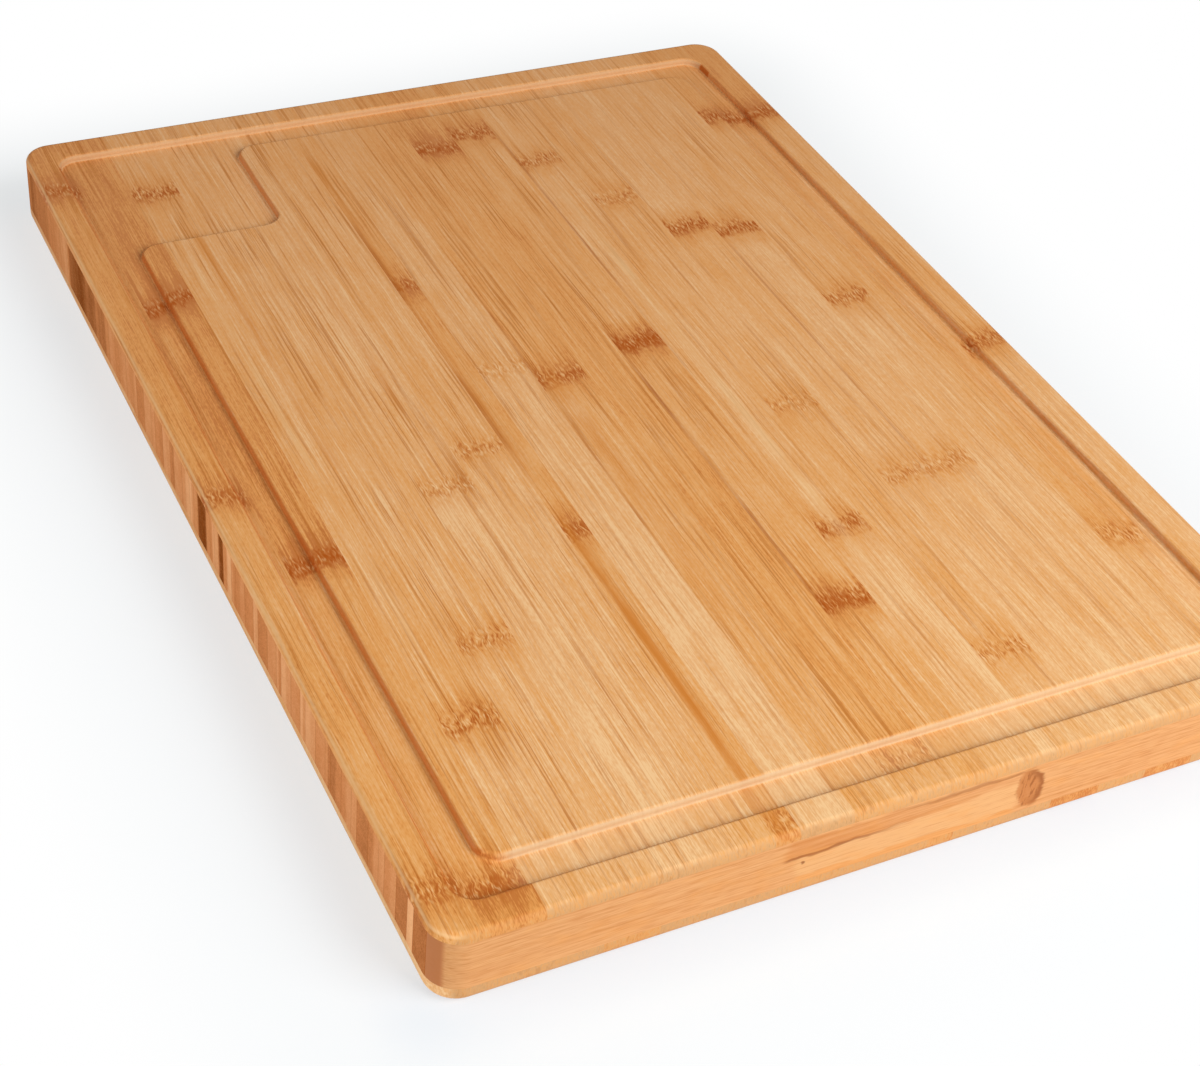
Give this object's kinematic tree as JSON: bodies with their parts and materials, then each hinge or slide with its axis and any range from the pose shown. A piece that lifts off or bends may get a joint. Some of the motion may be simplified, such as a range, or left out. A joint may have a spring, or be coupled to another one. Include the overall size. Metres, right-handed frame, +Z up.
{
  "type": "carving board",
  "caption": "Rectangular bamboo carving board of glued slats, with a juice groove round the top, a square juice well in one corner and rounded edges.",
  "frame": {"origin": "middle of the board's underside", "axes": "+Z up out of the carving face, +Y along the length towards the end with the juice well, +X to the right, away from the long side with the well"},
  "size_m": [0.3, 0.42, 0.028],
  "materials": {
    "bamboo_pale": "oiled satin",
    "bamboo_honey": "oiled satin",
    "bamboo_amber": "oiled satin",
    "bamboo_core": "oiled satin, end grain on the long sides"
  },
  "bodies": {
    "root": {"top_slat_01": "bamboo_amber", "top_slat_02": "bamboo_amber", "top_slat_03": "bamboo_pale", "top_slat_04": "bamboo_pale", "top_slat_05": "bamboo_pale", "top_slat_06": "bamboo_honey", "top_slat_07": "bamboo_amber", "top_slat_08": "bamboo_pale", "top_slat_09": "bamboo_amber", "top_slat_10": "bamboo_honey", "top_slat_11": "bamboo_amber", "top_slat_12": "bamboo_honey", "top_slat_13": "bamboo_honey", "top_slat_14": "bamboo_pale", "top_slat_15": "bamboo_honey", "top_slat_16": "bamboo_pale", "top_slat_17": "bamboo_pale", "top_slat_18": "bamboo_amber", "core_pack_01": "bamboo_core", "core_pack_02": "bamboo_core", "core_pack_03": "bamboo_core", "core_pack_04": "bamboo_core", "core_pack_05": "bamboo_core", "core_pack_06": "bamboo_core", "core_pack_07": "bamboo_core", "core_pack_08": "bamboo_core", "core_pack_09": "bamboo_core", "core_pack_10": "bamboo_core", "core_pack_11": "bamboo_core", "core_pack_12": "bamboo_core", "core_pack_13": "bamboo_core", "core_pack_14": "bamboo_core", "core_pack_15": "bamboo_core", "core_pack_16": "bamboo_core", "core_pack_17": "bamboo_core", "core_pack_18": "bamboo_core", "core_pack_19": "bamboo_core", "core_pack_20": "bamboo_core", "bottom_slat_01": "bamboo_honey", "bottom_slat_02": "bamboo_honey", "bottom_slat_03": "bamboo_pale", "bottom_slat_04": "bamboo_amber", "bottom_slat_05": "bamboo_honey", "bottom_slat_06": "bamboo_pale", "bottom_slat_07": "bamboo_honey", "bottom_slat_08": "bamboo_honey", "bottom_slat_09": "bamboo_honey", "bottom_slat_10": "bamboo_amber", "bottom_slat_11": "bamboo_honey", "bottom_slat_12": "bamboo_pale", "bottom_slat_13": "bamboo_amber", "bottom_slat_14": "bamboo_honey", "bottom_slat_15": "bamboo_amber", "bottom_slat_16": "bamboo_pale", "bottom_slat_17": "bamboo_honey", "bottom_slat_18": "bamboo_honey"}
  },
  "joints": []
}
